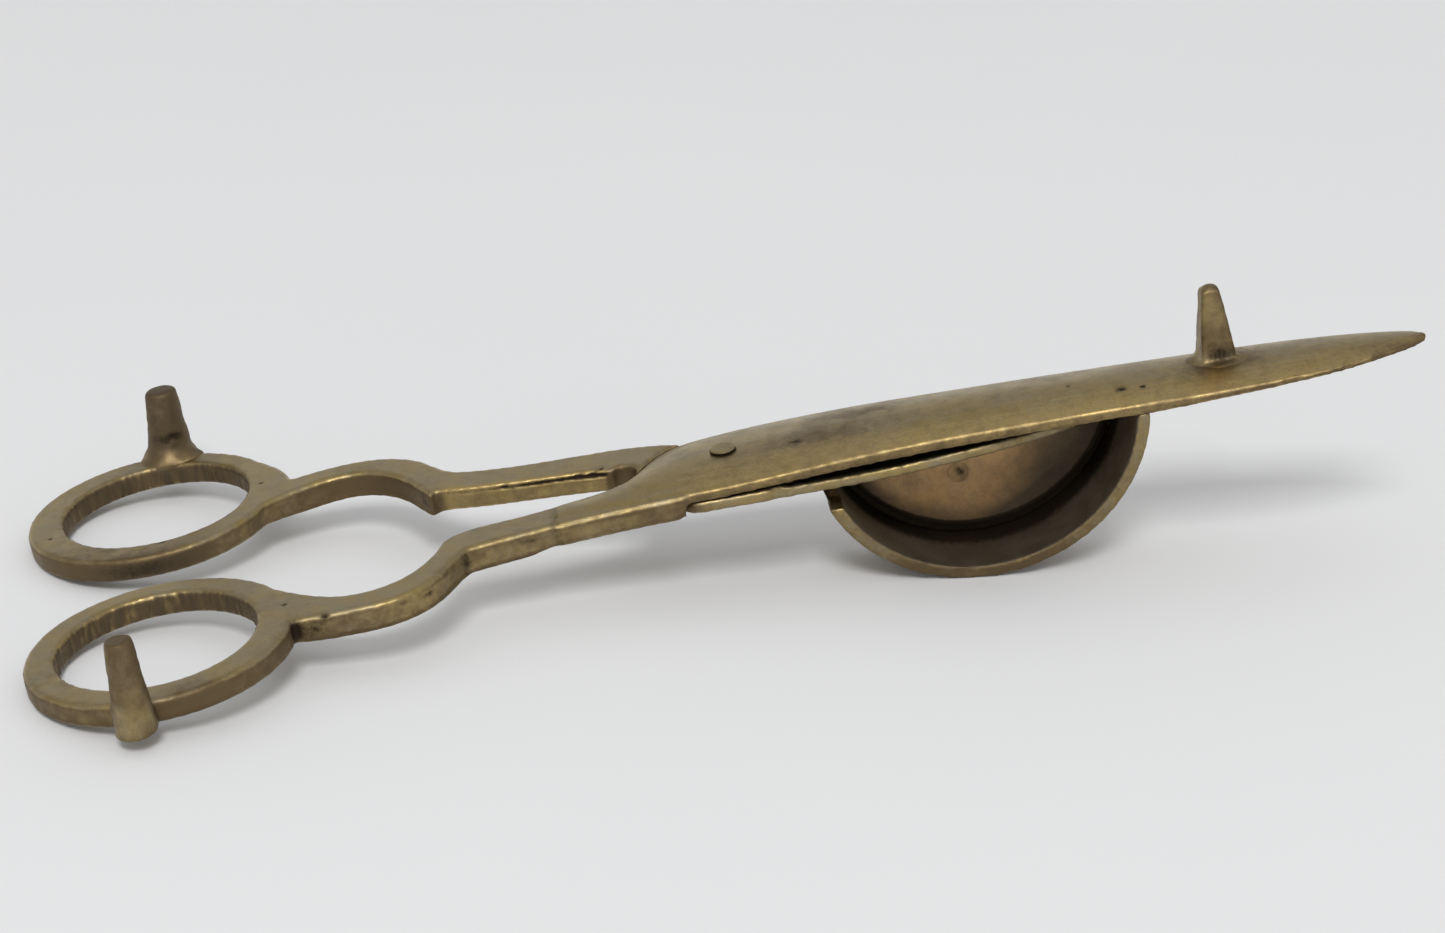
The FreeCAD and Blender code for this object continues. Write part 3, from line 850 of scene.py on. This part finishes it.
# ---------------------------------------------------------------- press plate and rivets
PLATE_VOXEL = 0.25
PLATE_TONES = {"body": (0.42, 0.262, 0.118), "grey": (0.34, 0.220, 0.122)}
PLATE_FACE_Y = 4.9          # the plate's face towards the box's mouth
FLATTENED = 0.06            # how much of its height the press plate's rivet head keeps
DIMPLE = (28.8, -9.9)       # x and z of that rivet head's dimple
RIVET_PATINA = ((28.8, 4.0, -9.9), (2.2, 4.0, 2.0), 0.5)
RIVET_VOXEL = 0.09


def make_press_plate(brass):
    """The press plate, with painted shade towards the blade's tip, a painted shadow round its
    rim, and darker nearest the pivot.
    """
    piece = refined("press_plate", PLATE_VOXEL)
    displaced(piece, lambda q, m: wobble(q, 15, 0.05))
    points = plan_points(piece.data)
    x, y, z = points.T
    radius = from_axis(points, PLATE_AXIS)
    # Painted shade: darker towards the blade's tip and lower down, and round the rim where the
    # gap to the wall is dark.
    soot = 0.85 * step(34.0, 44.0, x - 0.5 * z - 3.0)
    soot += 0.6 * step(PLATE_R - 3.2, PLATE_R - 0.8, radius) + 0.35 * step(22.0, 15.0, x)
    finish_piece(
        piece, MOVING, "press_plate", "plate_brass", brass, PLATE_VOXEL,
        calm=1.0, soot=np.clip(soot, 0, 0.9),
        patina=0.10 + spots_at(points, [RIVET_PATINA]) + 0.15 * noise(points, 2.6, 55),
        # Painted shadow: black along the rim, in the gap to the box's wall.
        stain=1.5 * step(PLATE_R - 1.1, PLATE_R - 0.2, radius),
    )


def make_pivot_rivet():
    brass = aged_brass("aged_brass_rivet", streaks=(0.8, 0.8, 0.8), rough=0.36)
    piece = refined("pivot_rivet", RIVET_VOXEL, rounds=6)
    displaced(piece, lambda q, m: 0.02 * noise(q, 0.9, 61))
    # Painted shadow: the head's side below its top is stained black.
    shaded_rivet_side = step(0.75, 0.35, plan_normals(piece.data)[:, 2])
    finish_piece(
        piece, FIXED, "pivot_rivet", "rivet_brass", brass, RIVET_VOXEL,
        calm=0.4, patina=0.3, stain=0.9 * shaded_rivet_side,
    )


def make_press_plate_rivet(brass):
    """The press plate's rivet: hammered almost flush, with painted shade on one side of its
    dimple.
    """
    piece = refined("press_plate_rivet", RIVET_VOXEL, rounds=10)
    points = plan_points(piece.data)
    y = points[:, 1]
    points[:, 1] = np.where(y < PLATE_FACE_Y, PLATE_FACE_Y + FLATTENED * (y - PLATE_FACE_Y), y)
    put_points(piece.data, points)
    # Painted shade in the dimple, on its shaded side.
    hollow = 1 - step(0.3, 1.3, from_axis(points, DIMPLE))
    off_x, off_z = points[:, 0] - DIMPLE[0], points[:, 2] - DIMPLE[1]
    shaded_side = step(-1.2, 1.0, off_x + 0.6 * off_z)
    finish_piece(
        piece, MOVING, "press_plate_rivet", "rivet_brass", brass, RIVET_VOXEL,
        calm=1.0, patina=0.45, stain=0.75 * hollow * shaded_side,
    )


# ---------------------------------------------------------------- feet
FOOT_VOXEL = 0.16
FEET = (
    {
        "node": "ring_foot_front", "body": FIXED, "seed": 71, "rounds": 14,
        "mounds": [((-70.6, -38.6, -2.3), (2.1, 1.6, 0.8))],
        "dark_joint": ((-68.6, -38.0, -0.8), (3.4, 2.0, 1.0)),
        "patina": 0.72, "soot": 0.0,
    },
    {
        "node": "ring_foot_back", "body": MOVING, "seed": 72, "rounds": 36,
        "mounds": [((-71.3, 32.5, -0.35), (4.5, 2.8, 1.2))],
        "dark_joint": ((-70.8, 31.6, 3.2), (3.4, 2.0, 1.0)),
        "patina": 1.0, "soot": 0.30,
    },
    {
        "node": "blade_foot", "body": FIXED, "seed": 73, "rounds": 30,
        "mounds": [
            ((62.4, 0.6, 0.7), (4.9, 3.7, 0.8)),
            ((62.2, 1.2, 9.8), (1.3, 1.3, 1.05)),
        ],
        "dark_joint": ((62.6, -1.4, 2.2), (3.0, 1.8, 1.8)),
        "patina": 0.56, "soot": 0.0,
    },
)


def make_foot(foot, brass):
    seed = foot["seed"]
    piece = refined(foot["node"], FOOT_VOXEL, foot["rounds"], foot["mounds"])
    displaced(piece, lambda q, m: 0.09 * noise(q, 2.4, seed) + 0.05 * noise(q, 0.8, seed + 10))
    points = plan_points(piece.data)
    above = step(0.4, 2.2, points[:, 2])
    mottled = 0.32 * noise(points, (1.5, 1.5, 3.5), seed + 20)
    crease = bump_at(points, *foot["dark_joint"])
    finish_piece(
        piece, foot["body"], foot["node"], "foot_brass", brass, FOOT_VOXEL,
        calm=0.5, patina=foot["patina"] - 0.25 * (1 - above) + mottled,
        stain=crease * (0.75 + 0.4 * noise(points, 1.3, seed + 21)),
        soot=foot["soot"] * above,
    )


# ---------------------------------------------------------------- table, light and camera
TABLE_HALF = 3.0            # metres
TABLE_TONES = ((0.765, 0.770, 0.78, 1), (0.79, 0.795, 0.80, 1))

# The room's tones, and its greys at heights from the horizon (0) to straight overhead (1).
HORIZON = (0.82, 0.82, 0.83, 1)
CEILING = (0.62, 0.62, 0.62, 1)
ROOM_GREYS = ((0.22, 0.72), (0.42, 0.40), (0.75, 0.46))
ROOM_STRENGTH = 1.20

KEY_AT = (-0.17, -1.66, 1.89)
KEY_SIDE = 0.70
KEY_WATTS = 31.5

CAMERA_AT = (-0.03111, -0.37228, 0.17228)
CAMERA_TURN = (67.266, 0.514, -4.993)       # degrees
FOCAL_LENGTH = 82.16
SENSOR_WIDTH = 36.0


def pale_table():
    h = TABLE_HALF
    mesh = bpy.data.meshes.new("table")
    mesh.from_pydata([(-h, -h, 0), (h, -h, 0), (h, h, 0), (-h, h, 0)], [], [(0, 1, 2, 3)])
    table = bpy.data.objects.new("table", mesh)
    scene.collection.objects.link(table)
    mat = bpy.data.materials.new("white_board")
    tree, make = new_tree(mat)
    where = make("ShaderNodeTexCoord").outputs["Object"]
    smudge = make(
        "ShaderNodeTexNoise", {"Vector": where, "Scale": 9.0, "Detail": 5.0, "Roughness": 0.6}
    )
    tone = make(
        "ShaderNodeMix",
        {0: smudge.outputs["Fac"], 6: TABLE_TONES[0], 7: TABLE_TONES[1]},
        data_type="RGBA",
    )
    shader = make("ShaderNodeBsdfPrincipled", {"Base Color": tone.outputs[2], "Roughness": 0.85})
    make("ShaderNodeOutputMaterial", {"Surface": shader.outputs[0]})
    mesh.materials.append(mat)


def room():
    """A dim neutral room above a bright horizon, as round a white sweep."""
    world = bpy.data.worlds.new("room")
    scene.world = world
    tree, make = new_tree(world)
    where = make("ShaderNodeTexCoord").outputs["Generated"]
    height = make("ShaderNodeSeparateXYZ", {"Vector": where}).outputs["Z"]
    tone = make("ShaderNodeValToRGB", {"Fac": height})
    stops = tone.color_ramp.elements
    stops[0].position, stops[0].color = 0.0, HORIZON
    stops[1].position, stops[1].color = 1.0, CEILING
    for place, grey in ROOM_GREYS:
        stops.new(place).color = (grey, grey, grey, 1)
    shade = make(
        "ShaderNodeBackground", {"Color": tone.outputs["Color"], "Strength": ROOM_STRENGTH}
    )
    make("ShaderNodeOutputWorld", {"Surface": shade.outputs[0]})


def key_light():
    lamp = bpy.data.lights.new("key", "AREA")
    lamp.shape = "SQUARE"
    lamp.size = KEY_SIDE
    lamp.energy = KEY_WATTS
    key = bpy.data.objects.new("key", lamp)
    key.location = KEY_AT
    key.rotation_euler = (-Vector(KEY_AT)).to_track_quat("-Z", "Y").to_euler()
    scene.collection.objects.link(key)


def place_camera():
    lens = bpy.data.cameras.new("camera")
    lens.lens = FOCAL_LENGTH
    lens.sensor_width = SENSOR_WIDTH
    lens.clip_start = 0.01
    camera = bpy.data.objects.new("camera", lens)
    scene.collection.objects.link(camera)
    camera.location = CAMERA_AT
    camera.rotation_euler = [math.radians(angle) for angle in CAMERA_TURN]
    scene.camera = camera
    scene.view_settings.view_transform = "Standard"


# ---------------------------------------------------------------- the whole scene
make_box_arm()
make_press_arm()

box_brass = aged_brass(
    "aged_brass_box", sooty=WALL_SOOT, streaks=(0.8, 0.8, 0.8), rough=0.42, grime=0.7
)
make_box_wall(box_brass)
make_box_back(box_brass)

plate_brass = aged_brass(
    "aged_brass_plate", **PLATE_TONES, streaks=(0.5, 0.5, 0.5), rough=0.48, grime=0.35
)
make_press_plate(plate_brass)
make_pivot_rivet()
make_press_plate_rivet(plate_brass)

foot_brass = aged_brass("aged_brass_feet", streaks=(0.5, 0.5, 0.14), rough=0.38, grime=0.65)
for foot in FEET:
    make_foot(foot, foot_brass)

pale_table()
room()
key_light()
place_camera()
